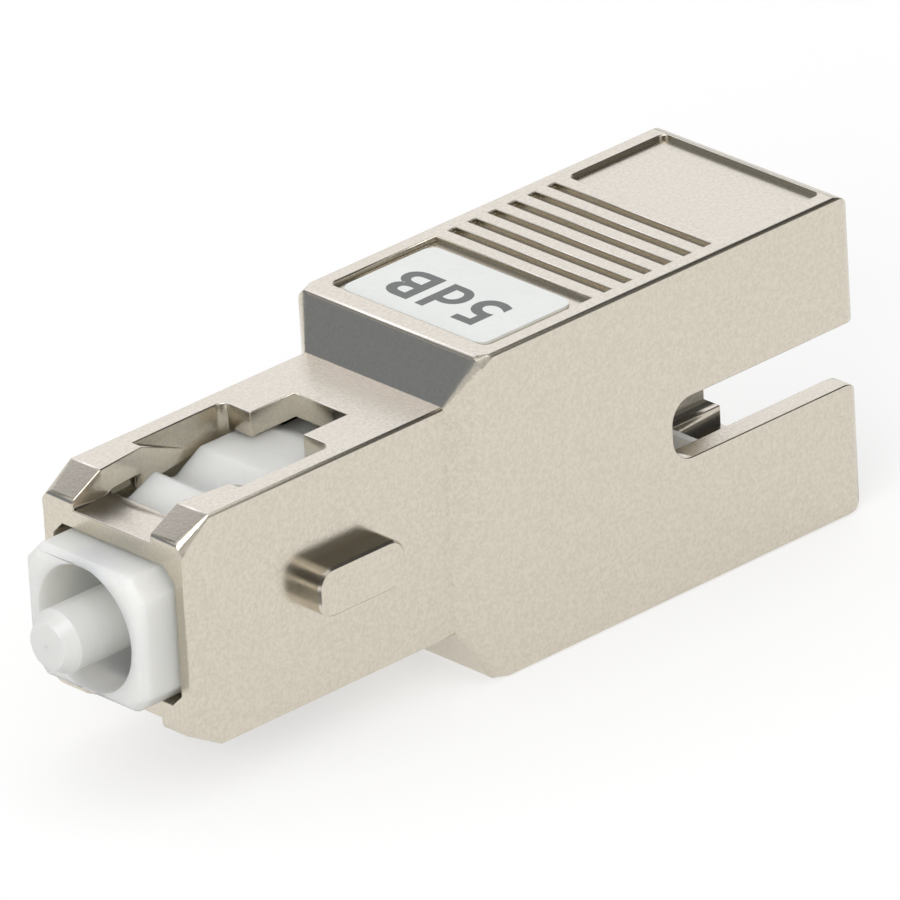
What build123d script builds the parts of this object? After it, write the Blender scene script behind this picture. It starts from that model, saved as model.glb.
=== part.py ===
from build123d import *
import os

# Plug-to-jack fixed fibre attenuator, in millimetres.
# The origin is on the optical axis at the shell's mouth. +X runs from the plug to the jack,
# +Z is the label's side and -Y is the side of the key.

os.makedirs("parts", exist_ok=True)

# Shell, outer form
plug_width = 7.4
plug_height = 9.2
plug_length = 13.0
step_length = 1.05
jack_length = 18.9
jack_side_wall = 0.95
jack_back_wall = 1.25
jack_top_wall = 1.8
jack_bottom_wall = 1.92
edge_radius = 0.16
step_edge_radius = 0.6
step_blend_length = 0.6
corner_radius = 0.3
end_radius = 0.95
rear_edge_radius = 0.55

# Shell, plug mouth with its two ears above and below
plug_side_wall = 0.5
mouth_lip = 1.83
bridge_thickness = 0.73
bridge_length = 2.0
mouth_corner_chamfer = 0.5
ear_ramp_length = 1.45
ear_ramp_drop = 0.76
ear_edge_radius = 0.5
ear_length = 3.7
notch_front_width = 4.1
notch_rear_width = 4.6

# Shell, latch windows with the release ramps, and the channel under the roof behind them
window_width = 5.7
window_length = 4.5
window_corner_radius = 0.4
window_tail_width = 2.8
window_tail_length = 2.2
release_ramp_length = 3.1
release_ramp_drop = 1.4
roof_wall = 1.0
channel_width = 5.2

# Shell, key rib
key_start = 5.6
key_length = 4.28
key_width = 1.95
key_height = 1.0
key_end_radius = 0.75
key_edge_chamfer = 0.1

# Shell, jack cavity with its key slot and the room that the hooks flex into
jack_clearance = 0.05
cavity_wall = 0.35
hook_pocket_width = 5.8
hook_pocket_depth = 0.75
hook_pocket_lead = 6.5
key_slot_width = 2.45
key_slot_length = 9.57
key_slot_radius = 0.95
key_slot_mouth_radius = 0.8

# Shell, grip pattern on the broad faces of the jack
grip_margin = 0.72
groove_count = 7
groove_pitch = 1.015
groove_width = 0.4
groove_depth = 0.24
recess_depth = 0.2
recess_corner_radius = 0.3
front_recess_margin = 0.95
front_recess_length = 5.15
rear_recess_margin = 0.9
rear_recess_length = 4.95

# Rating label in the front recess
label_margin = 0.12
label_side_margin = 0.36
label_thickness = 0.1
label_corner_radius = 0.5

# Plug frame
frame_clearance = 0.1
frame_reach = 1.6
nose_edge_radius = 0.4
frame_corner_chamfer = 0.75
front_bore_wall = 0.2
front_bore_depth = 5.2
web_thickness = 1.4
rear_bore_wall = 0.5
bump_length = 1.95
bump_crest = 0.15
bump_width = 4.1
bump_rise = 0.08
valley_depth = 0.7
valley_length = 1.35
pad_ramp_length = 1.25
pad_length = 2.6
pad_tail_length = 1.3
pad_width = 5.0
shoulder_drop = 0.45

# Ferrule with its fibre, flange and spring
ferrule_diameter = 2.5
ferrule_reach = 1.85
ferrule_chamfer = 0.35
ferrule_chamfer_length = 0.6
ferrule_dome = 0.05
fibre_diameter = 0.125
ferrule_hole_clearance = 0.15
flange_length = 2.6
flange_wall = 1.05
flange_clearance = 0.15
flange_seat_gap = 0.02
flange_notch_width = 0.9
flange_notch_depth = 0.4
flange_notch_count = 4
spring_wire = 0.4
spring_length = 3.2
spring_turns = 3
wire_sides = 6
spring_end_gap = 0.02

# Alignment sleeve and the bush in front of it
sleeve_length = 11.4
sleeve_wall = 0.33
sleeve_grip_gap = 0.03
sleeve_slit = 0.5
sleeve_end_gap = 0.08
seat_length = 2.2
seat_step = 0.25

# Latch body in the jack
latch_clearance = 0.1
latch_flange = 1.8
tube_bore_gap = 0.1
tube_wall = 0.6
tube_lip_length = 0.4
tube_lip = 0.2
tube_chamfer = 0.2
arm_thickness = 0.6
hook_clearance = 0.1
hook_width = 3.8
hook_wing_width = 5.2
barb_length = 1.0
barb_height = 0.4
barb_width = 2.4
barb_clearance = 0.12
release_travel = 1.6

# How far a cut runs past the face that it opens
margin = 1.0

# Stations along the axis
window_end_x = ear_length + window_length
tail_end_x = window_end_x + window_tail_length
step_end_x = plug_length + step_length
blend_end_x = step_end_x + step_blend_length
rear_x = step_end_x + jack_length
cavity_x = step_end_x + cavity_wall
frame_front_x = -frame_reach
tip_x = frame_front_x - ferrule_reach
bump_x = bridge_length + frame_clearance
crest_x = bump_x + bump_length
valley_end_x = crest_x + valley_length
pad_x = valley_end_x + pad_ramp_length
pad_end_x = pad_x + pad_length
pad_tail_x = pad_end_x + pad_tail_length
web_x = frame_front_x + front_bore_depth
rear_bore_x = web_x + web_thickness
flange_x = rear_bore_x + flange_seat_gap
flange_end_x = flange_x + flange_length
seat_x = flange_end_x + spring_length
seat_end_x = seat_x + seat_length
sleeve_x = seat_end_x + sleeve_end_gap
sleeve_end_x = sleeve_x + sleeve_length
contact_x = sleeve_x + sleeve_length / 2
tube_lip_x = sleeve_end_x + sleeve_end_gap
tube_end_x = tube_lip_x + tube_lip_length
latch_flange_x = cavity_x + latch_clearance
latch_flange_end_x = latch_flange_x + latch_flange
catch_x = contact_x + crest_x - tip_x
hook_pocket_x = catch_x - hook_pocket_lead
key_slot_x = rear_x - key_slot_length
front_recess_x = step_end_x + front_recess_margin
groove_x = front_recess_x + front_recess_length
rear_recess_end_x = rear_x - rear_recess_margin
rear_recess_x = rear_recess_end_x - rear_recess_length
label_x = front_recess_x + label_margin
label_end_x = groove_x - groove_width / 2 - label_margin

# Half sections about the axis
plug_y = plug_width / 2
plug_z = plug_height / 2
cavity_y = plug_y + jack_clearance
cavity_z = plug_z + jack_clearance
jack_y = cavity_y + jack_side_wall
jack_back_y = cavity_y + jack_back_wall
jack_width = jack_y + jack_back_y
jack_centre_y = (jack_back_y - jack_y) / 2
jack_z = cavity_z + jack_top_wall
jack_low_z = cavity_z + jack_bottom_wall
jack_height = jack_z + jack_low_z
jack_centre_z = (jack_z - jack_low_z) / 2
mouth_y = plug_y - plug_side_wall
mouth_z = plug_z - mouth_lip
bridge_z = mouth_z + bridge_thickness
roof_z = plug_z - roof_wall
frame_y = mouth_y - frame_clearance
frame_z = mouth_z - frame_clearance
pad_z = roof_z - latch_clearance
crest_z = pad_z + bump_rise
valley_z = pad_z - valley_depth
shoulder_z = frame_z - shoulder_drop
hook_pocket_z = cavity_z + hook_pocket_depth

# Radii about the axis
ferrule_r = ferrule_diameter / 2
fibre_r = fibre_diameter / 2
ferrule_hole_r = ferrule_r + ferrule_hole_clearance
front_bore_r = frame_z - front_bore_wall
flange_r = ferrule_r + flange_wall
rear_bore_r = flange_r + flange_clearance
spring_r = (ferrule_r + rear_bore_r) / 2
sleeve_bore_r = ferrule_r + sleeve_grip_gap
sleeve_r = sleeve_bore_r + sleeve_wall
tube_bore_r = sleeve_r + tube_bore_gap
tube_r = tube_bore_r + tube_wall
seat_r = tube_bore_r + seat_step

# Rear of the plug frame around its bore, and the tunnel that it slides in
rear_z = rear_bore_r + rear_bore_wall
tunnel_z = rear_z + frame_clearance


def box_between(low, high, mode=Mode.ADD):
    """A box from its lowest to its highest corner."""
    centre = [(a + b) / 2 for a, b in zip(low, high)]
    size = [b - a for a, b in zip(low, high)]
    with Locations(tuple(centre)):
        Box(*size, mode=mode)


def turned(points, mode=Mode.ADD):
    """A turned piece from its half section, given as points (x, radius)."""
    with BuildSketch(Plane.XZ) as half_section:
        Polygon(*points, align=None)
    revolve(half_section.sketch, axis=Axis.X, mode=mode)


def both_ways(points):
    """An outline given as X and half width, closed about the X axis."""
    return [(x, -w) for x, w in points] + points[::-1]


# Die-cast shell
with BuildPart() as housing_shell:
    # Ear ramps, plug, step and jack, with rounded long edges
    with BuildSketch(Plane.YZ):
        RectangleRounded(plug_width, plug_height - 2 * ear_ramp_drop, ear_edge_radius)
    with BuildSketch(Plane.YZ.offset(ear_ramp_length)):
        RectangleRounded(plug_width, plug_height, edge_radius)
    loft(ruled=True)
    with BuildSketch(Plane.YZ.offset(ear_ramp_length)):
        RectangleRounded(plug_width, plug_height, edge_radius)
    extrude(amount=plug_length - ear_ramp_length)
    with BuildSketch(Plane.YZ.offset(plug_length)):
        RectangleRounded(plug_width, plug_height, edge_radius)
    with BuildSketch(Plane.YZ.offset(step_end_x)):
        with Locations((jack_centre_y, jack_centre_z)):
            RectangleRounded(jack_width, jack_height, step_edge_radius)
    loft(ruled=True)
    with BuildSketch(Plane.YZ.offset(step_end_x)):
        with Locations((jack_centre_y, jack_centre_z)):
            RectangleRounded(jack_width, jack_height, step_edge_radius)
    with BuildSketch(Plane.YZ.offset(blend_end_x)):
        with Locations((jack_centre_y, jack_centre_z)):
            RectangleRounded(jack_width, jack_height, edge_radius)
    loft(ruled=True)
    with BuildSketch(Plane.YZ.offset(blend_end_x)):
        with Locations((jack_centre_y, jack_centre_z)):
            RectangleRounded(jack_width, jack_height, edge_radius)
    extrude(amount=rear_x - blend_end_x)

    # Side view, which rounds the edges across
    with BuildSketch(Plane.XZ.offset(-jack_back_y - margin)):
        with BuildLine():
            FilletPolyline(
                (0, ear_ramp_drop - plug_z),
                (ear_ramp_length, -plug_z),
                (plug_length, -plug_z),
                (step_end_x, -jack_low_z),
                (rear_x, -jack_low_z),
                (rear_x, jack_z),
                (step_end_x, jack_z),
                (plug_length, plug_z),
                (ear_ramp_length, plug_z),
                (0, plug_z - ear_ramp_drop),
                radius=[
                    corner_radius, corner_radius, 0, corner_radius, end_radius,
                    end_radius, corner_radius, 0, corner_radius, corner_radius,
                ],
                close=True,
            )
        make_face()
    extrude(amount=jack_width + 2 * margin, mode=Mode.INTERSECT)

    # Key slot in the jack's side wall, open at the rear and rounded at its mouth
    past_rear_x = rear_x + margin
    slot_z = key_slot_width / 2
    with BuildSketch(Plane.XZ.offset(cavity_y - latch_clearance)):
        with BuildLine():
            FilletPolyline(
                (past_rear_x, slot_z),
                (key_slot_x, slot_z),
                (key_slot_x, -slot_z),
                (past_rear_x, -slot_z),
                radius=[0, key_slot_radius, key_slot_radius, 0],
                close=True,
            )
        make_face()
    extrude(amount=jack_side_wall + 2 * latch_clearance, mode=Mode.SUBTRACT)
    slot_mouth = housing_shell.edges().filter_by(Axis.Y).filter_by_position(Axis.Z, -slot_z, slot_z)
    fillet(slot_mouth.filter_by_position(Axis.X, rear_x, rear_x), key_slot_mouth_radius)

    # Plan view, which rounds the upright edges
    with BuildSketch(Plane.XY.offset(-jack_low_z - margin)):
        with BuildLine():
            FilletPolyline(
                (0, -plug_y),
                (plug_length, -plug_y),
                (step_end_x, -jack_y),
                (rear_x, -jack_y),
                (rear_x, jack_back_y),
                (step_end_x, jack_back_y),
                (plug_length, plug_y),
                (0, plug_y),
                radius=[
                    corner_radius, 0, corner_radius, rear_edge_radius,
                    rear_edge_radius, corner_radius, 0, corner_radius,
                ],
                close=True,
            )
        make_face()
    extrude(amount=jack_height + 2 * margin, mode=Mode.INTERSECT)

    # Key rib on the side
    with BuildSketch(Plane.XZ.offset(plug_y)):
        with Locations((key_start + key_length / 2, 0)):
            RectangleRounded(key_length, key_width, key_end_radius)
    extrude(amount=key_height)
    chamfer(housing_shell.faces(Select.LAST).sort_by(Axis.Y)[0].edges(), key_edge_chamfer)

    # Mouth and tunnel for the plug frame, with the deeper channels that its bumps and pads run in
    with BuildSketch(Plane.YZ.offset(-margin)) as mouth_section:
        Rectangle(2 * mouth_y, 2 * mouth_z)
        chamfer(mouth_section.vertices(), mouth_corner_chamfer)
    extrude(amount=margin + bridge_length, mode=Mode.SUBTRACT)
    box_between((bridge_length, -mouth_y, -tunnel_z), (cavity_x, mouth_y, tunnel_z), Mode.SUBTRACT)
    channel_y = channel_width / 2
    box_between((bridge_length, -channel_y, -roof_z), (cavity_x, channel_y, roof_z), Mode.SUBTRACT)

    # Latch windows above and below: notch between the ears, wide part and narrow tail
    window_y = window_width / 2
    for side in (1, -1):
        with BuildSketch(Plane.XY.offset(side * bridge_z)):
            Polygon(
                *both_ways([
                    (-margin, notch_front_width / 2),
                    (ear_ramp_length, notch_front_width / 2),
                    (ear_length, notch_rear_width / 2),
                    (window_end_x, notch_rear_width / 2),
                    (window_end_x, window_tail_width / 2),
                    (tail_end_x, window_tail_width / 2),
                ]),
                align=None,
            )
        extrude(amount=side * plug_height, mode=Mode.SUBTRACT)
    with BuildSketch(Plane.XY):
        with Locations((ear_length + window_length / 2, 0)):
            RectangleRounded(window_length, window_width, window_corner_radius)
    extrude(amount=plug_z, both=True, mode=Mode.SUBTRACT)

    # Release ramps, which run out behind the ears and lift the wings of a hook
    release_end_x = ear_length + release_ramp_length
    release_end_z = plug_z - release_ramp_drop
    for side in (1, -1):
        for wall in (1, -1):
            with BuildSketch(Plane.XY.offset(side * tunnel_z)):
                Polygon(
                    (ear_length - window_corner_radius, wall * notch_rear_width / 2),
                    (ear_length, wall * notch_rear_width / 2),
                    (release_end_x, wall * window_y),
                    (ear_length - window_corner_radius, wall * window_y),
                    align=None,
                )
            extrude(amount=side * (plug_z - tunnel_z))
        with BuildSketch(Plane.XZ):
            Polygon(
                (ear_length, side * plug_z),
                (release_end_x, side * release_end_z),
                (release_end_x, side * plug_height),
                (ear_length, side * plug_height),
                align=None,
            )
        extrude(amount=window_y, both=True, mode=Mode.SUBTRACT)

    # Jack cavity with the room that the hooks flex into
    box_between((cavity_x, -cavity_y, -cavity_z), (past_rear_x, cavity_y, cavity_z), Mode.SUBTRACT)
    hook_pocket_y = hook_pocket_width / 2
    box_between(
        (hook_pocket_x, -hook_pocket_y, -hook_pocket_z),
        (past_rear_x, hook_pocket_y, hook_pocket_z),
        Mode.SUBTRACT,
    )

    # Pockets in the side walls that the snap barbs travel in
    barb_pocket_x = latch_flange_x + (latch_flange - barb_length) / 2 - barb_clearance
    barb_pocket_end_x = barb_pocket_x + barb_length + release_travel + 2 * barb_clearance
    barb_pocket_y = cavity_y - latch_clearance + barb_height + barb_clearance
    barb_pocket_z = barb_width / 2 + barb_clearance
    box_between(
        (barb_pocket_x, -barb_pocket_y, -barb_pocket_z),
        (barb_pocket_end_x, barb_pocket_y, barb_pocket_z),
        Mode.SUBTRACT,
    )

    # Grip grooves and two shallow recesses on the top and on the underside; the front recess opens
    # into the first groove
    grip_width = jack_width - 2 * grip_margin
    for side, face_z in ((1, jack_z), (-1, -jack_low_z)):
        with BuildSketch(Plane.XY.offset(face_z)) as recesses:
            with Locations((front_recess_x + front_recess_length / 2, jack_centre_y)):
                Rectangle(front_recess_length, grip_width)
            fillet(recesses.vertices().sort_by(Axis.X)[:2], recess_corner_radius)
            with Locations((rear_recess_x + rear_recess_length / 2, jack_centre_y)):
                RectangleRounded(rear_recess_length, grip_width, recess_corner_radius)
        extrude(amount=-side * recess_depth, mode=Mode.SUBTRACT)
        with BuildSketch(Plane.XY.offset(face_z)):
            with Locations([(groove_x + i * groove_pitch, jack_centre_y) for i in range(groove_count)]):
                Rectangle(groove_width, grip_width)
        extrude(amount=-side * groove_depth, mode=Mode.SUBTRACT)

# White plug frame
with BuildPart() as plug_frame:
    # Nose in front of the shell's mouth, softly rounded
    with BuildSketch(-Plane.YZ) as nose_section:
        Rectangle(2 * frame_y, 2 * frame_z)
        chamfer(nose_section.vertices(), frame_corner_chamfer)
    extrude(amount=frame_reach)
    fillet(plug_frame.faces().sort_by(Axis.X)[0].edges(), nose_edge_radius)

    # Full section in the mouth and at the rear
    for start_x, end_x, half_z in ((0, bump_x, frame_z), (pad_tail_x, latch_flange_x, rear_z)):
        with BuildSketch(Plane.YZ.offset(start_x)) as full_section:
            Rectangle(2 * frame_y, 2 * half_z)
            chamfer(full_section.vertices(), frame_corner_chamfer)
        extrude(amount=end_x - start_x)

    # Between them, low shoulders and a spine with the valley that a hook drops into and the pad behind it
    box_between((bump_x, -frame_y, -shoulder_z), (pad_tail_x, frame_y, shoulder_z))
    with BuildSketch(Plane.XZ):
        Polygon(
            *both_ways([
                (bump_x, valley_z),
                (valley_end_x, valley_z),
                (pad_x, pad_z),
                (pad_end_x, pad_z),
                (pad_tail_x, rear_z),
            ]),
            align=None,
        )
    extrude(amount=pad_width / 2, both=True)

    # Locking bumps, ramped at the front and steep behind
    with BuildSketch(Plane.XZ):
        Polygon(
            *both_ways([(bump_x, valley_z), (crest_x - bump_crest, crest_z), (crest_x, crest_z)]),
            align=None,
        )
    extrude(amount=bump_width / 2, both=True)

    # Bores for a sleeve in front, for the ferrule in the web, and for the flange and spring behind
    turned([
        (frame_front_x - margin, 0),
        (frame_front_x - margin, front_bore_r),
        (web_x, front_bore_r),
        (web_x, ferrule_hole_r),
        (rear_bore_x, ferrule_hole_r),
        (rear_bore_x, rear_bore_r),
        (latch_flange_x + margin, rear_bore_r),
        (latch_flange_x + margin, 0),
    ], Mode.SUBTRACT)

# Double-ended ceramic ferrule with domed, chamfered ends
dome_radius = (ferrule_r - ferrule_chamfer) ** 2 / (2 * ferrule_dome)


def dome_drop(radius):
    """How far the domed end falls back at a radius from the axis."""
    return dome_radius - (dome_radius ** 2 - radius ** 2) ** 0.5


with BuildPart() as ferrule:
    end_r = ferrule_r - ferrule_chamfer
    with BuildSketch(Plane.XZ):
        with BuildLine():
            Polyline(
                (tip_x + dome_drop(end_r), end_r),
                (tip_x + ferrule_chamfer_length, ferrule_r),
                (contact_x - ferrule_chamfer_length, ferrule_r),
                (contact_x - dome_drop(end_r), end_r),
            )
            ThreePointArc(
                (contact_x - dome_drop(end_r), end_r),
                (contact_x - dome_drop(end_r / 2), end_r / 2),
                (contact_x - dome_drop(fibre_r), fibre_r),
            )
            Line((contact_x - dome_drop(fibre_r), fibre_r), (tip_x + dome_drop(fibre_r), fibre_r))
            ThreePointArc(
                (tip_x + dome_drop(fibre_r), fibre_r),
                (tip_x + dome_drop(end_r / 2), end_r / 2),
                (tip_x + dome_drop(end_r), end_r),
            )
        make_face()
    revolve(axis=Axis.X)

# Attenuating fibre bonded in the ferrule's bore
with BuildPart() as doped_fibre:
    fibre_x = tip_x + dome_drop(fibre_r)
    with BuildSketch(Plane.YZ.offset(fibre_x)):
        Circle(fibre_r)
    extrude(amount=contact_x - dome_drop(fibre_r) - fibre_x)

# Collar pressed on the ferrule, notched for the assembly tool
with BuildPart() as ferrule_flange:
    turned([
        (flange_x, ferrule_r),
        (flange_x, flange_r - flange_notch_depth),
        (flange_x + flange_notch_depth, flange_r),
        (flange_end_x, flange_r),
        (flange_end_x, ferrule_r),
    ])
    with BuildSketch(Plane.YZ.offset(flange_x)):
        with PolarLocations(flange_r, flange_notch_count):
            Rectangle(2 * flange_notch_depth, flange_notch_width)
    extrude(amount=flange_length, mode=Mode.SUBTRACT)

# Coil spring behind the flange
with BuildPart() as float_spring:
    wire_r = spring_wire / 2
    coil_x = flange_end_x + wire_r + spring_end_gap
    coil_height = spring_length - spring_wire - 2 * spring_end_gap
    with BuildLine() as coil:
        Helix(coil_height / spring_turns, coil_height, spring_r, (coil_x, 0, 0), (1, 0, 0))
    with BuildSketch(Plane(origin=coil.line @ 0, z_dir=coil.line % 0)):
        RegularPolygon(wire_r, wire_sides)
    sweep(is_frenet=True)

# Bush that takes the spring and keeps the sleeve in its tube
with BuildPart() as spring_seat:
    turned([
        (seat_x, ferrule_hole_r),
        (seat_x, seat_r),
        (seat_end_x, seat_r),
        (seat_end_x, ferrule_hole_r),
    ])

# Alignment sleeve with its slit
with BuildPart() as split_sleeve:
    turned([
        (sleeve_x, sleeve_bore_r),
        (sleeve_x, sleeve_r),
        (sleeve_end_x, sleeve_r),
        (sleeve_end_x, sleeve_bore_r),
    ])
    slit_y = sleeve_slit / 2
    box_between((sleeve_x, -slit_y, 0), (sleeve_end_x, slit_y, 2 * sleeve_r), Mode.SUBTRACT)

# Latch body in the jack: spigot, flange, sleeve tube and two hooks
with BuildPart() as jack_latch:
    latch_y = cavity_y - latch_clearance
    latch_z = cavity_z - latch_clearance
    turned([
        (seat_x, 0),
        (seat_x, rear_bore_r),
        (latch_flange_x, rear_bore_r),
        (latch_flange_x, tube_r),
        (tube_end_x - tube_chamfer, tube_r),
        (tube_end_x, tube_r - tube_chamfer),
        (tube_end_x, 0),
    ])
    box_between((latch_flange_x, -latch_y, -latch_z), (latch_flange_end_x, latch_y, latch_z))

    # Hooks that catch behind the bumps of a plug like this one, with wings for its release ramps
    arm_z = crest_z + hook_clearance
    arm_top_z = arm_z + arm_thickness
    hook_z = valley_z + hook_clearance
    hook_flat_end_x = catch_x + valley_length - hook_clearance
    hook_tip_x = hook_flat_end_x + (arm_z - hook_z) * pad_ramp_length / valley_depth
    for side in (1, -1):
        with BuildSketch(Plane.XZ):
            Polygon(
                (latch_flange_end_x, side * arm_z),
                (catch_x, side * arm_z),
                (catch_x, side * hook_z),
                (hook_flat_end_x, side * hook_z),
                (hook_tip_x, side * arm_z),
                (hook_tip_x, side * arm_top_z),
                (latch_flange_end_x, side * arm_top_z),
                align=None,
            )
        extrude(amount=hook_width / 2, both=True)
        with BuildSketch(Plane.XY.offset(side * arm_z)):
            with Locations(((catch_x + hook_tip_x) / 2, 0)):
                Rectangle(hook_tip_x - catch_x, hook_wing_width)
        extrude(amount=side * arm_thickness)

    # Snap barbs, ramped towards the plug, that keep the latch body in the shell
    barb_x = barb_pocket_x + barb_clearance
    for wall in (1, -1):
        with BuildSketch(Plane.XY):
            Polygon(
                (barb_x, wall * latch_y),
                (barb_x + barb_length, wall * (latch_y + barb_height)),
                (barb_x + barb_length, wall * latch_y),
                align=None,
            )
        extrude(amount=barb_width / 2, both=True)

    # Seat of the bush, bore of the sleeve and lip at the tube's end
    lip_r = tube_bore_r - tube_lip
    turned([
        (seat_x - margin, 0),
        (seat_x - margin, seat_r),
        (seat_end_x, seat_r),
        (seat_end_x, tube_bore_r),
        (tube_lip_x, tube_bore_r),
        (tube_lip_x, lip_r),
        (tube_end_x + margin, lip_r),
        (tube_end_x + margin, 0),
    ], Mode.SUBTRACT)

# Rating label on the floor of the front recess
with BuildPart() as value_label:
    with BuildSketch(Plane.XY.offset(jack_z - recess_depth)):
        with Locations(((label_x + label_end_x) / 2, jack_centre_y)):
            RectangleRounded(
                label_end_x - label_x,
                grip_width - 2 * label_side_margin,
                label_corner_radius,
            )
    extrude(amount=label_thickness)

pieces = {
    "housing_shell": housing_shell,
    "plug_frame": plug_frame,
    "ferrule": ferrule,
    "doped_fibre": doped_fibre,
    "ferrule_flange": ferrule_flange,
    "float_spring": float_spring,
    "spring_seat": spring_seat,
    "split_sleeve": split_sleeve,
    "jack_latch": jack_latch,
    "value_label": value_label,
}
for node, piece in pieces.items():
    piece.part.label = node
    export_step(piece.part, f"parts/{node}.step")
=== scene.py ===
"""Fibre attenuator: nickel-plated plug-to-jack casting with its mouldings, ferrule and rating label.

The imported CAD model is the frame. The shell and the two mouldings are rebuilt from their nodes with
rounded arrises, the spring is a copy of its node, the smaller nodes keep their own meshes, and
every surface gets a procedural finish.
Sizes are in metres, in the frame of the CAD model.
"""
import math

import bmesh
import bpy
from bpy.props import FloatProperty, FloatVectorProperty, PointerProperty, StringProperty
from mathutils import Matrix, Vector


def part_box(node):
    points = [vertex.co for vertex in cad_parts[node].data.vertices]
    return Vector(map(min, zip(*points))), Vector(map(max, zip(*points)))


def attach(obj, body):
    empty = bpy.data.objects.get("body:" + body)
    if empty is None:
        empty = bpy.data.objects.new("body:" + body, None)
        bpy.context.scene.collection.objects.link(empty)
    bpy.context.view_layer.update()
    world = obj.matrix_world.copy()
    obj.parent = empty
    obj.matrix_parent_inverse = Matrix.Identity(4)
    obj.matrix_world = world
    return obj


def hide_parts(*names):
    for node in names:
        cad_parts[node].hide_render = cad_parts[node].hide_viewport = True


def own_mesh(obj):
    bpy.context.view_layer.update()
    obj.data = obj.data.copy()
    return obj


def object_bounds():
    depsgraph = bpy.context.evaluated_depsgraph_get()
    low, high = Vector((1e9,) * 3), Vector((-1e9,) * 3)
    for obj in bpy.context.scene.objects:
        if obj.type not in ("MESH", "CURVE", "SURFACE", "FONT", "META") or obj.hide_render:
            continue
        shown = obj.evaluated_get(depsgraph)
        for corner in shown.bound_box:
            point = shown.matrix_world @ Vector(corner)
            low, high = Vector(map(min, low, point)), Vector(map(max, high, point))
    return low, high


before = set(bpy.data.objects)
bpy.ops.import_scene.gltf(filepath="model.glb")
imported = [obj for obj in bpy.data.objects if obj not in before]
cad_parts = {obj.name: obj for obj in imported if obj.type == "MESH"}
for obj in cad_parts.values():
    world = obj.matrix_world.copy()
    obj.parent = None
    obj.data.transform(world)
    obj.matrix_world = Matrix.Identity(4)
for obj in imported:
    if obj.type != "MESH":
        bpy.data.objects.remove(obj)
CAD_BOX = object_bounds()

bl_info = {
    "name": "Fibre attenuator",
    "version": (1, 0, 0),
    "blender": (4, 5, 0),
    "location": "3D View > Sidebar > Attenuator",
    "description": "Finishes a plug-to-jack fibre attenuator and sets it on a studio floor",
    "category": "Object",
}

MM = 0.001
LABEL_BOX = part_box("value_label")
PHOTO_WIDTH = 900


def length_property(name, description, millimetres):
    """A length that a user would change, given in millimetres."""
    return FloatProperty(
        name=name, description=description, default=millimetres * MM, min=0.0, precision=6, unit="LENGTH"
    )


def colour_property(name, description, colour):
    """A linear colour that a user would change."""
    return FloatVectorProperty(
        name=name, description=description, default=colour, size=3, min=0.0, max=1.0, subtype="COLOR"
    )


def level_property(name, description, level):
    """A plain level, such as a grey or the brightness of a soft box."""
    return FloatProperty(name=name, description=description, default=level, min=0.0)


def angle_property(name, description, degrees):
    """An angle, given in degrees."""
    return FloatProperty(name=name, description=description, default=math.radians(degrees), subtype="ANGLE")


class AttenuatorSizes(bpy.types.PropertyGroup):
    """Small sizes that belong to the finish and not to the CAD model."""

    cast_arris: length_property("Cast arris", "Rounding of the casting's sharp edges", 0.055)
    moulded_arris: length_property("Moulded arris", "Rounding of the white mouldings' sharp edges", 0.06)
    rating_text: StringProperty(name="Rating", description="Generic rating on the label", default="5dB")
    rating_height: length_property("Rating height", "Height of the capital letter", 2.1)
    rating_width: length_property("Rating width", "Length of the printed line", 5.2)
    rating_shift: length_property("Rating shift", "Gap from the label's rear edge to the letters", 1.73)
    rating_side: length_property("Rating side", "Letters' middle from the label's, away from the key", 0.15)
    ink_rise: length_property("Ink rise", "Thickness of the print above the film", 0.006)


class AttenuatorColours(bpy.types.PropertyGroup):
    """Linear colours of the finishes."""

    plating: colour_property("Plating", "Satin nickel plate", (0.69, 0.637, 0.54))
    plating_shade: colour_property("Plating shade", "Nickel in the grain's hollows", (0.63, 0.58, 0.49))
    moulding: colour_property("Moulding", "White moulded plastic", (0.84, 0.835, 0.79))
    moulding_shade: colour_property("Moulding shade", "Flow tone of the plastic", (0.82, 0.815, 0.77))
    zirconia: colour_property("Zirconia", "Ground white ceramic", (0.76, 0.76, 0.74))
    zirconia_shade: colour_property("Zirconia shade", "Ceramic's grinding lines", (0.735, 0.735, 0.715))
    film: colour_property("Label film", "Pale printed film", (0.90, 0.915, 0.885))
    film_shade: colour_property("Label film shade", "Fibres of the film", (0.86, 0.875, 0.845))
    ink: colour_property("Ink", "Dark grey printing ink", (0.135, 0.137, 0.132))
    ink_shade: colour_property("Ink shade", "Thin places of the ink", (0.17, 0.172, 0.165))
    turned: colour_property("Turned metal", "Nickel-plated turned brass", (0.72, 0.68, 0.60))
    turned_shade: colour_property("Turned metal shade", "Tool marks of the lathe", (0.62, 0.58, 0.50))
    wire: colour_property("Spring wire", "Drawn stainless wire", (0.60, 0.60, 0.60))
    wire_shade: colour_property("Spring wire shade", "Drawing marks of the wire", (0.48, 0.48, 0.48))
    glass: colour_property("Doped glass", "Polished end of the fibre", (0.72, 0.72, 0.71))
    glass_shade: colour_property("Doped glass shade", "Core of the fibre", (0.66, 0.66, 0.65))


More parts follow.
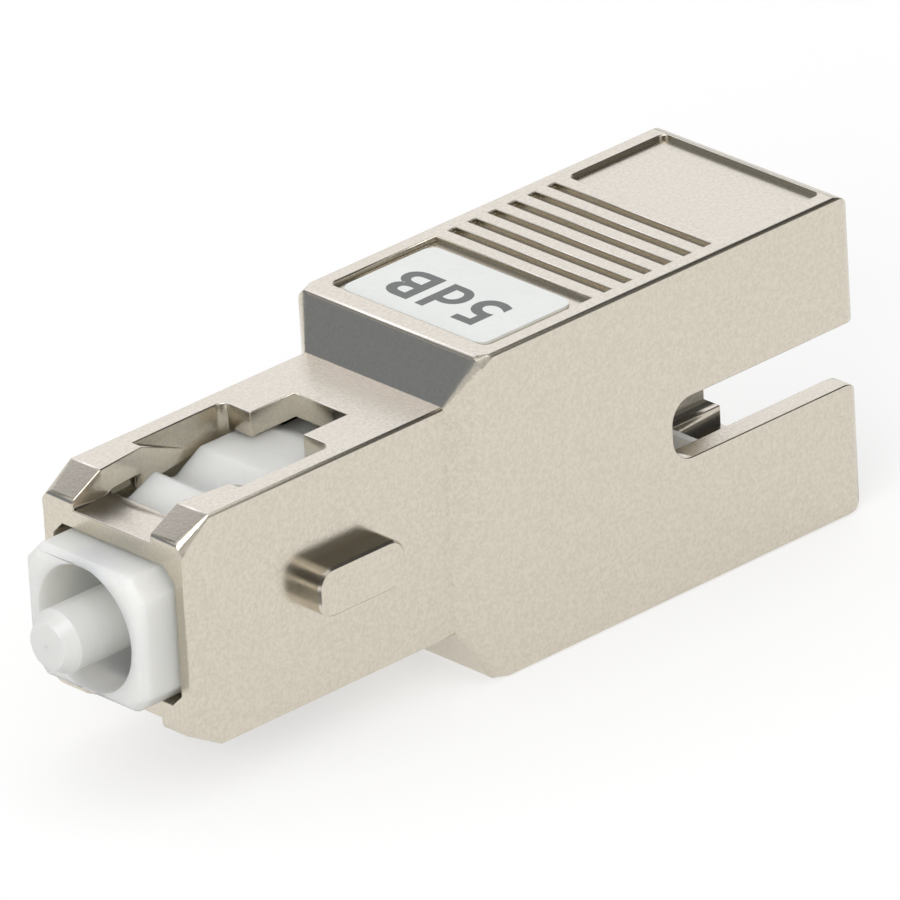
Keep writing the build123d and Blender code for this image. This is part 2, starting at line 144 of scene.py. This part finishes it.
class AttenuatorStage(bpy.types.PropertyGroup):
    """Camera and studio."""

    azimuth: angle_property("Azimuth", "Camera's turn from the key side towards the plug", -42.09)
    elevation: angle_property("Elevation", "Camera's height angle", 25.63)
    roll: angle_property("Roll", "Camera's tilt in the picture", -3.36)
    distance: length_property("Distance", "Camera to the picture's centre", 583.6)
    focal_pixels: FloatProperty(
        name="Focal length", description="Focal length in pixels of the photograph", default=15897.0,
        subtype="PIXEL",
    )
    aim: FloatVectorProperty(
        name="Aim", description="Reference point of the camera fit", default=(0.020, 0.0, 0.0),
        subtype="XYZ",
    )
    slide_right: length_property("Slide right", "Aim's place right of the picture's centre", 2.507)
    slide_up: length_property("Slide up", "Aim's place above the picture's centre", 0.749)
    room_level: level_property("Room level", "Grey of the room all round", 0.70)
    key_radiance: level_property("Key radiance", "Brightness of the soft box by the camera", 3.8)
    key_size: length_property("Key size", "Side of the soft box by the camera", 280.0)
    top_radiance: level_property("Top radiance", "Brightness of the soft box overhead", 0.5)
    top_size: length_property("Top size", "Side of the soft box overhead", 280.0)
    floor_grey: level_property("Floor grey", "Grey of the floor, which takes the shadow", 0.56)
    floor_lift: level_property("Floor lift", "White added where the floor is seen", 0.525)


GRAIN_GROUP = "Surface grain"
GRAIN_DEFAULTS = {"Fine Scale": 7000.0, "Broad Scale": 1500.0, "Broad Share": 0.3}
NOISE_DETAIL = {"Fine Scale": 1.5, "Broad Scale": 3.0}
TONE_RANGE = (0.35, 0.65)


def grain_group():
    """Shader group shared by all finishes: a fine and a broad noise in the part's own coordinates."""
    group = bpy.data.node_groups.get(GRAIN_GROUP)
    if group:
        return group
    group = bpy.data.node_groups.new(GRAIN_GROUP, "ShaderNodeTree")
    stretch = group.interface.new_socket("Stretch", in_out="INPUT", socket_type="NodeSocketVector")
    stretch.default_value = (1.0, 1.0, 1.0)
    for name, default in GRAIN_DEFAULTS.items():
        socket = group.interface.new_socket(name, in_out="INPUT", socket_type="NodeSocketFloat")
        socket.default_value = default
    for name in ("Height", "Tone"):
        group.interface.new_socket(name, in_out="OUTPUT", socket_type="NodeSocketFloat")
    nodes, links = group.nodes, group.links
    given = nodes.new("NodeGroupInput")
    result = nodes.new("NodeGroupOutput")
    place = nodes.new("ShaderNodeTexCoord")
    stretched = nodes.new("ShaderNodeVectorMath")
    stretched.operation = "MULTIPLY"
    links.new(place.outputs["Object"], stretched.inputs[0])
    links.new(given.outputs["Stretch"], stretched.inputs[1])
    noises = {}
    for name, detail in NOISE_DETAIL.items():
        noise = nodes.new("ShaderNodeTexNoise")
        noise.inputs["Detail"].default_value = detail
        links.new(stretched.outputs["Vector"], noise.inputs["Vector"])
        links.new(given.outputs[name], noise.inputs["Scale"])
        noises[name] = noise
    height = nodes.new("ShaderNodeMix")
    links.new(given.outputs["Broad Share"], height.inputs["Factor"])
    links.new(noises["Fine Scale"].outputs["Fac"], height.inputs["A"])
    links.new(noises["Broad Scale"].outputs["Fac"], height.inputs["B"])
    links.new(height.outputs["Result"], result.inputs["Height"])
    tone = nodes.new("ShaderNodeMapRange")
    tone.inputs["From Min"].default_value, tone.inputs["From Max"].default_value = TONE_RANGE
    links.new(height.outputs["Result"], tone.inputs["Value"])
    links.new(tone.outputs["Result"], result.inputs["Tone"])
    return group


def grain_of(fine, broad, share, stretch=(1.0, 1.0, 1.0)):
    """Inputs of the grain group: two scales, the broad one's share, and a stretch along the axes."""
    return {"Fine Scale": fine, "Broad Scale": broad, "Broad Share": share, "Stretch": stretch}


def finish(name, colour, shade, roughness, grain, rise, **constants):
    """A procedural finish: grain tones the colour and the roughness, and stands proud as a bump.

    colour and shade are the two ends of the tone, roughness the levels at those ends, grain the inputs
    of the grain group, and rise the height of the bump in metres. The rest are sockets of the shader.
    """
    material = bpy.data.materials.new(name)
    material.use_nodes = True
    nodes, links = material.node_tree.nodes, material.node_tree.links
    shader = nodes["Principled BSDF"]
    grains = nodes.new("ShaderNodeGroup")
    grains.node_tree = grain_group()
    for socket, value in grain.items():
        grains.inputs[socket].default_value = value
    tint = nodes.new("ShaderNodeMix")
    tint.data_type = "RGBA"
    tint.inputs["A"].default_value = (*shade, 1.0)
    tint.inputs["B"].default_value = (*colour, 1.0)
    links.new(grains.outputs["Tone"], tint.inputs["Factor"])
    links.new(tint.outputs["Result"], shader.inputs["Base Color"])
    gloss = nodes.new("ShaderNodeMapRange")
    gloss.inputs["To Min"].default_value = roughness[1]
    gloss.inputs["To Max"].default_value = roughness[0]
    links.new(grains.outputs["Tone"], gloss.inputs["Value"])
    links.new(gloss.outputs["Result"], shader.inputs["Roughness"])
    bump = nodes.new("ShaderNodeBump")
    bump.inputs["Distance"].default_value = rise
    links.new(grains.outputs["Height"], bump.inputs["Height"])
    links.new(bump.outputs["Normal"], shader.inputs["Normal"])
    for socket, value in constants.items():
        shader.inputs[socket.replace("_", " ")].default_value = value
    return material


WELD = 1e-7
FLAT_ANGLE = math.radians(0.5)
SHARP_ANGLE = math.radians(28.0)
ROOM_PER_ARRIS = 3
ARRIS_SEGMENTS = 2
LARGE_FACE_WEIGHT = 100


def room_beside(edge):
    """How far the narrower of an edge's two faces reaches away from the edge."""
    start = edge.verts[0].co
    along = (edge.verts[1].co - start).normalized()
    return min(
        max((vert.co - start).cross(along).length for vert in face.verts) for face in edge.link_faces
    )


def rounded_piece(node_name, piece_name, body, arris, material):
    """Rebuilds a CAD node as a piece in its place, with its sharp edges rounded by arris.

    Hollow edges, and edges beside a face too narrow for the rounding, stay sharp.
    """
    solid = bmesh.new()
    solid.from_mesh(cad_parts[node_name].data)
    bmesh.ops.remove_doubles(solid, verts=solid.verts, dist=WELD)
    bmesh.ops.dissolve_limit(
        solid, angle_limit=FLAT_ANGLE, verts=solid.verts, edges=solid.edges, use_dissolve_boundaries=False
    )
    sharp = [edge for edge in solid.edges if edge.calc_face_angle() > SHARP_ANGLE]
    rounded = [edge for edge in sharp if edge.is_convex and room_beside(edge) > ROOM_PER_ARRIS * arris]
    for edge in sharp:
        edge.smooth = False
    for edge in rounded:
        edge.smooth = True
    bmesh.ops.bevel(
        solid, geom=rounded, offset=arris, offset_type="OFFSET", segments=ARRIS_SEGMENTS, profile=0.5,
        affect="EDGES", clamp_overlap=False,
    )
    for face in solid.faces:
        face.smooth = True
    mesh = bpy.data.meshes.new(piece_name)
    solid.to_mesh(mesh)
    solid.free()
    if "custom_normal" in mesh.attributes:
        mesh.attributes.remove(mesh.attributes["custom_normal"])
    mesh.materials.append(material)
    piece = bpy.data.objects.new(piece_name, mesh)
    bpy.context.collection.objects.link(piece)
    flat_faces = piece.modifiers.new("Flat faces", "WEIGHTED_NORMAL")
    flat_faces.weight = LARGE_FACE_WEIGHT
    flat_faces.keep_sharp = True
    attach(piece, body)
    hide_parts(node_name)


def coat_node(node_name, material):
    """Gives a carried-over CAD node its finish."""
    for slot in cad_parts[node_name].material_slots:
        slot.material = material


class ATTENUATOR_OT_shell(bpy.types.Operator):
    """Plates the die-cast shell and rounds its arrises"""

    bl_idname = "attenuator.shell"
    bl_label = "Shell casting"

    def execute(self, context):
        sizes, colours = context.scene.attenuator_sizes, context.scene.attenuator_colours
        plating = finish(
            "satin_nickel", colours.plating, colours.plating_shade, roughness=(0.21, 0.26),
            grain=grain_of(8000.0, 4000.0, 0.3), rise=0.000003, Metallic=1.0,
        )
        rounded_piece(
            "housing_shell", "shell_casting", "shell", sizes.cast_arris, plating
        )
        return {"FINISHED"}


class ATTENUATOR_OT_label(bpy.types.Operator):
    """Finishes the label film and prints the rating on it"""

    bl_idname = "attenuator.label"
    bl_label = "Rating label"

    LETTER_SPACING = 1.1
    LETTER_SWELL = 0.02
    LETTER_DEPTH = 0.5

    def execute(self, context):
        sizes, colours = context.scene.attenuator_sizes, context.scene.attenuator_colours
        coat_node("value_label", finish(
            "label_film", colours.film, colours.film_shade, roughness=(0.42, 0.55),
            grain=grain_of(5000.0, 700.0, 0.6), rise=0.000002,
        ))
        ink = finish(
            "printing_ink", colours.ink, colours.ink_shade, roughness=(0.4, 0.6),
            grain=grain_of(9000.0, 2500.0, 0.5), rise=0.000002,
        )
        lettering = bpy.data.curves.new("rating_outline", "FONT")
        lettering.body = sizes.rating_text
        lettering.align_x = "CENTER"
        lettering.space_character = self.LETTER_SPACING
        lettering.offset = self.LETTER_SWELL
        lettering.extrude = self.LETTER_DEPTH
        outline = bpy.data.objects.new("rating_outline", lettering)
        context.collection.objects.link(outline)
        context.view_layer.update()
        mesh = bpy.data.meshes.new_from_object(outline.evaluated_get(context.evaluated_depsgraph_get()))
        bpy.data.objects.remove(outline)
        bpy.data.curves.remove(lettering)
        self.lay_print(mesh, sizes)
        mesh.name = "rating_print"
        mesh.materials.clear()
        mesh.materials.append(ink)
        rating = bpy.data.objects.new("rating_print", mesh)
        context.collection.objects.link(rating)
        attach(rating, "shell")
        return {"FINISHED"}

    def lay_print(self, mesh, sizes):
        """Lays the letters on the film: they read along +Y with their heads towards the plug.

        The lower half of their depth is sunk in the film.
        """
        low = Vector([min(vertex.co[axis] for vertex in mesh.vertices) for axis in range(3)])
        high = Vector([max(vertex.co[axis] for vertex in mesh.vertices) for axis in range(3)])
        span = high - low
        centre_y = (LABEL_BOX[0].y + LABEL_BOX[1].y) / 2 + sizes.rating_side
        feet_x = LABEL_BOX[1].x - sizes.rating_shift
        film_z = LABEL_BOX[1].z
        for vertex in mesh.vertices:
            along = (vertex.co.x - (low.x + high.x) / 2) * sizes.rating_width / span.x
            above = (vertex.co.y - low.y) * sizes.rating_height / span.y
            proud = vertex.co.z * 2 * sizes.ink_rise / span.z
            vertex.co = (feet_x - above, centre_y + along, film_z + proud)


class ATTENUATOR_OT_mouldings(bpy.types.Operator):
    """Finishes the white plug frame and the latch body of the jack"""

    bl_idname = "attenuator.mouldings"
    bl_label = "White mouldings"

    def execute(self, context):
        sizes, colours = context.scene.attenuator_sizes, context.scene.attenuator_colours
        plastic = finish(
            "white_moulding", colours.moulding, colours.moulding_shade, roughness=(0.38, 0.5),
            grain=grain_of(5200.0, 450.0, 0.55), rise=0.0000015,
            Subsurface_Weight=1.0, Subsurface_Scale=0.0018, Subsurface_Radius=(1.0, 0.92, 0.82),
        )
        pieces = {"plug_frame": "plug_frame_moulding", "jack_latch": "latch_moulding"}
        for node_name, piece_name in pieces.items():
            rounded_piece(
                node_name, piece_name, "carriage", sizes.moulded_arris, plastic
            )
        return {"FINISHED"}


class ATTENUATOR_OT_ceramics(bpy.types.Operator):
    """Finishes the ferrule, the split sleeve and the fibre"""

    bl_idname = "attenuator.ceramics"
    bl_label = "Ferrule and sleeve"

    def execute(self, context):
        colours = context.scene.attenuator_colours
        zirconia = finish(
            "ground_zirconia", colours.zirconia, colours.zirconia_shade, roughness=(0.3, 0.38),
            grain=grain_of(9000.0, 1200.0, 0.4, stretch=(1.0, 0.1, 0.1)), rise=0.0000005,
            Subsurface_Weight=0.3, Subsurface_Scale=0.0006, Subsurface_Radius=(1.0, 1.0, 1.0),
        )
        for node_name in ("ferrule", "split_sleeve"):
            coat_node(node_name, zirconia)
        coat_node("doped_fibre", finish(
            "doped_glass", colours.glass, colours.glass_shade, roughness=(0.05, 0.1),
            grain=grain_of(20000.0, 8000.0, 0.5), rise=0.0000002,
        ))
        return {"FINISHED"}


class ATTENUATOR_OT_turned_parts(bpy.types.Operator):
    """Finishes the collar and the spring seat"""

    bl_idname = "attenuator.turned_parts"
    bl_label = "Collar and spring seat"

    def execute(self, context):
        colours = context.scene.attenuator_colours
        turned = finish(
            "turned_nickel", colours.turned, colours.turned_shade, roughness=(0.2, 0.32),
            grain=grain_of(9000.0, 2500.0, 0.4, stretch=(1.0, 0.05, 0.05)), rise=0.000002, Metallic=1.0,
        )
        for node_name in ("ferrule_flange", "spring_seat"):
            coat_node(node_name, turned)
        return {"FINISHED"}


class ATTENUATOR_OT_spring(bpy.types.Operator):
    """Finishes a copy of the float spring's node; in the attenuator this spring shortens as the ferrule is
    pushed in
    """

    bl_idname = "attenuator.spring"
    bl_label = "Float spring"

    def execute(self, context):
        colours = context.scene.attenuator_colours
        wire = finish(
            "spring_wire", colours.wire, colours.wire_shade, roughness=(0.25, 0.4),
            grain=grain_of(12000.0, 3000.0, 0.4), rise=0.000002, Metallic=1.0,
        )
        coil = bpy.data.objects.new("float_spring_coil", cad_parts["float_spring"].data.copy())
        coil.data.materials.clear()
        coil.data.materials.append(wire)
        context.collection.objects.link(coil)
        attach(coil, "carriage")
        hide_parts("float_spring")
        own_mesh(coil)
        return {"FINISHED"}


def emission_material(name, radiance):
    """A plain glowing surface for a studio card."""
    material = bpy.data.materials.new(name)
    material.use_nodes = True
    nodes, links = material.node_tree.nodes, material.node_tree.links
    nodes.remove(nodes["Principled BSDF"])
    glow = nodes.new("ShaderNodeEmission")
    glow.inputs["Color"].default_value = (*radiance, 1.0)
    links.new(glow.outputs["Emission"], nodes["Material Output"].inputs["Surface"])
    return material


def facing(location, target):
    """World matrix of a lamp or card at location that faces the target."""
    turn = (target - location).to_track_quat("-Z", "Y")
    return Matrix.Translation(location) @ turn.to_matrix().to_4x4()


def sheet_mesh(name, width, height):
    """A flat rectangle in its own XY plane."""
    mesh = bpy.data.meshes.new(name)
    x, y = width / 2, height / 2
    mesh.from_pydata([(-x, -y, 0), (x, -y, 0), (x, y, 0), (-x, y, 0)], [], [(0, 1, 2, 3)])
    return mesh


class ATTENUATOR_OT_stage(bpy.types.Operator):
    """Sets the floor, the room, the soft boxes, the studio cards and the camera"""

    bl_idname = "attenuator.stage"
    bl_label = "Studio stage"

    FLOOR_SIZE = 3.0
    FLOOR_GAP = 0.01 * MM
    CLIP_START = 0.01
    LAMP_DISTANCE = 0.45
    KEY_DIRECTION = (-0.80, -0.46, 0.34)
    TOP_DIRECTION = (0.06, 0.08, 1.0)
    # Each card's name, direction from the part, distance and size in millimetres, and radiance
    CARDS = (
        ("card_bright_behind", (0.56, 0.70, 0.46), 450, (500, 380), (1.12, 1.13, 1.19)),
        ("card_bright_above", (0.26, 0.66, 0.70), 440, (190, 170), (1.8, 1.85, 2.15)),
        ("card_grey_above", (-0.26, 0.64, 0.72), 445, (180, 180), (0.22, 0.22, 0.23)),
        ("card_dark_left", (-0.72, 0.64, 0.24), 450, (600, 340), (0.25, 0.275, 0.315)),
        ("card_dark_above_right", (0.62, 0.02, 0.80), 450, (340, 260), (0.05, 0.05, 0.05)),
        ("card_glint", (-0.27, -0.28, 0.92), 450, (240, 300), (4.0, 4.0, 4.0)),
        ("card_dark_front_left", (-0.62, -0.66, 0.42), 440, (400, 400), (0.06, 0.06, 0.06)),
        ("card_dark_right", (0.68, -0.36, 0.66), 450, (340, 300), (0.05, 0.05, 0.05)),
        ("card_dark_front_right", (0.62, -0.70, 0.36), 450, (340, 360), (0.15, 0.145, 0.135)),
    )
    # The flag's place in the part's frame and its size, in millimetres
    FLAG_PLACE = (0.8, -10.4, -3.4)
    FLAG_SIZE = (4.5, 2.6)
    FLAG_FACING = (0.60, 0.67, 0.43)
    FLAG_RADIANCE = (0.05, 0.05, 0.05)

    def execute(self, context):
        stage = context.scene.attenuator_stage
        centre = (CAD_BOX[0] + CAD_BOX[1]) / 2
        context.scene.view_settings.view_transform = "Standard"
        self.lay_floor(context, stage)
        self.set_room(context, stage)
        boxes = (
            ("key_soft_box", self.KEY_DIRECTION, stage.key_size, stage.key_radiance),
            ("top_soft_box", self.TOP_DIRECTION, stage.top_size, stage.top_radiance),
        )
        for name, direction, size, radiance in boxes:
            self.hang_box(context, name, direction, size, radiance, centre)
        self.hang_cards(context, centre)
        self.set_camera(context, stage)
        return {"FINISHED"}

    def lay_floor(self, context, stage):
        """Pale floor under the part: it takes the shadow, and is lifted to white where it is seen."""
        material = bpy.data.materials.new("pale_floor")
        material.use_nodes = True
        nodes, links = material.node_tree.nodes, material.node_tree.links
        shader = nodes["Principled BSDF"]
        shader.inputs["Base Color"].default_value = (*[stage.floor_grey] * 3, 1.0)
        shader.inputs["Roughness"].default_value = 1.0
        shader.inputs["Specular IOR Level"].default_value = 0.0
        lift = nodes.new("ShaderNodeEmission")
        path = nodes.new("ShaderNodeLightPath")
        seen = path.outputs["Is Camera Ray"]
        for ray in ("Is Glossy Ray", "Is Transmission Ray"):
            either = nodes.new("ShaderNodeMath")
            either.operation = "MAXIMUM"
            links.new(seen, either.inputs[0])
            links.new(path.outputs[ray], either.inputs[1])
            seen = either.outputs[0]
        amount = nodes.new("ShaderNodeMath")
        amount.operation = "MULTIPLY"
        amount.inputs[1].default_value = stage.floor_lift
        links.new(seen, amount.inputs[0])
        links.new(amount.outputs[0], lift.inputs["Strength"])
        both = nodes.new("ShaderNodeAddShader")
        links.new(shader.outputs["BSDF"], both.inputs[0])
        links.new(lift.outputs["Emission"], both.inputs[1])
        links.new(both.outputs["Shader"], nodes["Material Output"].inputs["Surface"])
        mesh = sheet_mesh("studio_floor", self.FLOOR_SIZE, self.FLOOR_SIZE)
        mesh.materials.append(material)
        floor = bpy.data.objects.new("studio_floor", mesh)
        floor.location.z = CAD_BOX[0].z - self.FLOOR_GAP
        context.collection.objects.link(floor)

    def set_room(self, context, stage):
        """Even grey room all round."""
        world = bpy.data.worlds.new("studio_room")
        context.scene.world = world
        world.use_nodes = True
        room = world.node_tree.nodes["Background"]
        room.inputs["Color"].default_value = (1.0, 1.0, 1.0, 1.0)
        room.inputs["Strength"].default_value = stage.room_level

    def hang_box(self, context, name, direction, size, radiance, centre):
        """A square soft box that faces the part."""
        lamp = bpy.data.lights.new(name, "AREA")
        lamp.shape = "SQUARE"
        lamp.size = size
        lamp.energy = math.pi * size**2 * radiance
        box = bpy.data.objects.new(name, lamp)
        place = centre + Vector(direction).normalized() * self.LAMP_DISTANCE
        box.matrix_world = facing(place, centre)
        box.visible_glossy = False
        context.collection.objects.link(box)

    def hang_cards(self, context, centre):
        """Bright and dark cards that only reflections see, and a small flag by the key."""
        for name, direction, distance, size, radiance in self.CARDS:
            place = centre + Vector(direction).normalized() * distance * MM
            self.hang_card(context, name, place, centre, size, radiance)
        flag = Vector(self.FLAG_PLACE) * MM
        target = flag + Vector(self.FLAG_FACING)
        self.hang_card(context, "flag_by_key", flag, target, self.FLAG_SIZE, self.FLAG_RADIANCE)

    def hang_card(self, context, name, place, target, size, radiance):
        """One card, with its size in millimetres."""
        mesh = sheet_mesh(name, size[0] * MM, size[1] * MM)
        mesh.materials.append(emission_material(name, radiance))
        card = bpy.data.objects.new(name, mesh)
        card.matrix_world = facing(place, target)
        card.visible_camera = False
        card.visible_diffuse = False
        card.visible_shadow = False
        card.visible_transmission = False
        context.collection.objects.link(card)

    def set_camera(self, context, stage):
        """Camera of the photograph, with its long lens and slight roll."""
        back = Vector((
            math.sin(stage.azimuth) * math.cos(stage.elevation),
            -math.cos(stage.azimuth) * math.cos(stage.elevation),
            math.sin(stage.elevation),
        ))
        level = Vector((math.cos(stage.azimuth), math.sin(stage.azimuth), 0.0))
        raised = back.cross(level)
        right = math.cos(stage.roll) * level + math.sin(stage.roll) * raised
        up = math.cos(stage.roll) * raised - math.sin(stage.roll) * level
        centre = Vector(stage.aim) - stage.slide_right * right - stage.slide_up * up
        lens = bpy.data.cameras.new("photo_camera")
        lens.sensor_fit = "HORIZONTAL"
        lens.lens = stage.focal_pixels / PHOTO_WIDTH * lens.sensor_width
        lens.clip_start = self.CLIP_START
        camera = bpy.data.objects.new("photo_camera", lens)
        camera.matrix_world = (
            Matrix.Translation(centre + stage.distance * back)
            @ Matrix((right, up, back)).transposed().to_4x4()
        )
        context.collection.objects.link(camera)
        context.scene.camera = camera


OPERATORS = (
    ATTENUATOR_OT_shell,
    ATTENUATOR_OT_label,
    ATTENUATOR_OT_mouldings,
    ATTENUATOR_OT_ceramics,
    ATTENUATOR_OT_turned_parts,
    ATTENUATOR_OT_spring,
    ATTENUATOR_OT_stage,
)


class ATTENUATOR_PT_sidebar(bpy.types.Panel):
    """Lists the pieces of the attenuator"""

    bl_idname = "ATTENUATOR_PT_sidebar"
    bl_label = "Fibre attenuator"
    bl_space_type = "VIEW_3D"
    bl_region_type = "UI"
    bl_category = "Attenuator"

    def draw(self, context):
        for operator in OPERATORS:
            self.layout.operator(operator.bl_idname)


SETTINGS = (
    ("attenuator_sizes", AttenuatorSizes),
    ("attenuator_colours", AttenuatorColours),
    ("attenuator_stage", AttenuatorStage),
)


def register():
    for name, group in SETTINGS:
        bpy.utils.register_class(group)
        setattr(bpy.types.Scene, name, PointerProperty(type=group))
    for cls in (*OPERATORS, ATTENUATOR_PT_sidebar):
        bpy.utils.register_class(cls)


def unregister():
    for cls in reversed((*OPERATORS, ATTENUATOR_PT_sidebar)):
        bpy.utils.unregister_class(cls)
    for name, group in reversed(SETTINGS):
        delattr(bpy.types.Scene, name)
        bpy.utils.unregister_class(group)


def main():
    register()
    bpy.ops.attenuator.shell()
    bpy.ops.attenuator.label()
    bpy.ops.attenuator.mouldings()
    bpy.ops.attenuator.ceramics()
    bpy.ops.attenuator.turned_parts()
    bpy.ops.attenuator.spring()
    bpy.ops.attenuator.stage()


if __name__ == "__main__":
    main()
